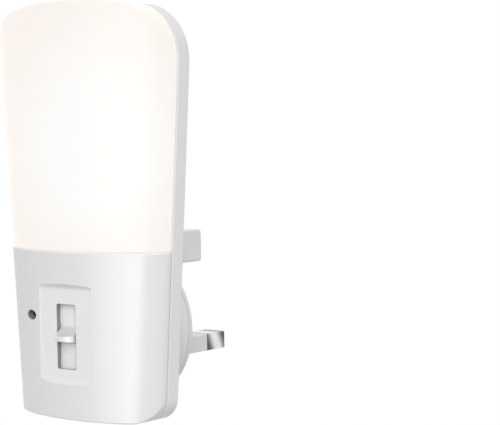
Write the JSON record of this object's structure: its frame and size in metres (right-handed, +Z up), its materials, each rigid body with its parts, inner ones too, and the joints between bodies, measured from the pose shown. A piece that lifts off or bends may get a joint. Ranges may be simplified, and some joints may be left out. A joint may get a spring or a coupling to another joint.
{
  "type": "plug in night light",
  "caption": "Slim plug-in night light with an opal diffuser, a dusk sensor, a brightness slider and a three-pin rectangular plug on its back.",
  "frame": {"origin": "centre of the round plug boss, on the flat face that meets the socket", "axes": "+X to the right seen from the front, +Y into the wall along the pins, +Z up with the earth pin at the top; the lit front faces -Y"},
  "size_m": [0.0542, 0.0484, 0.096],
  "materials": {
    "white_plastic": "satin moulded white polycarbonate",
    "opal_diffuser": "translucent opal polycarbonate, lit warm white from inside",
    "pin_nickel": "bright nickel plated brass",
    "strap_brass": "plain brass strip",
    "steel": "zinc plated steel",
    "black_plastic": "black moulded plastic",
    "black_rubber": "soft black rubber",
    "driver_laminate": "green solder resist on glass laminate",
    "led_laminate": "white solder resist on an aluminium core board",
    "led_phosphor": "yellow phosphor in a white package",
    "reflector_white": "matt white reflector sheet",
    "phenolic": "brown phenolic track board",
    "lead_red": "red insulated wire",
    "film_yellow": "yellow boxed film capacitor",
    "can_sleeve": "dark shrink sleeve on an aluminium can",
    "varistor_blue": "blue epoxy coating",
    "resistor_coat": "blue-green flameproof coating",
    "sensor_body": "dark tinted clear epoxy"
  },
  "bodies": {
    "lamp": {"rear_casing": "white_plastic", "front_housing": "white_plastic", "diffuser": "opal_diffuser", "pin_plate": "white_plastic", "earth_pin": "white_plastic", "live_pin": "pin_nickel", "neutral_pin": "pin_nickel", "live_sleeve": "white_plastic", "neutral_sleeve": "white_plastic", "live_strap": "strap_brass", "neutral_strap": "strap_brass", "slider_frame": "steel", "slider_base": "phenolic", "driver_board": "driver_laminate", "led_board": "led_laminate", "led_chips": "led_phosphor", "reflector": "reflector_white", "led_leads": "lead_red", "mains_capacitor": "film_yellow", "smoothing_capacitor": "can_sleeve", "varistor": "varistor_blue", "choke": "black_plastic", "fusible_resistor": "resistor_coat", "bridge_rectifier": "black_plastic", "driver_chip": "black_plastic", "chip_resistors": "black_plastic", "dusk_sensor": "sensor_body", "sensor_tube": "black_rubber", "casing_screws": "steel", "board_screws": "steel", "led_board_screws": "steel"},
    "slider": {"slider_knob": "white_plastic", "slider_lever": "black_plastic", "slider_wiper": "strap_brass"}
  },
  "joints": [
    {"name": "brightness_slide", "type": "slide", "parent": "lamp", "child": "slider", "axis": [0, 0, 1], "range_m": [-0.0045, 0.0045]}
  ]
}
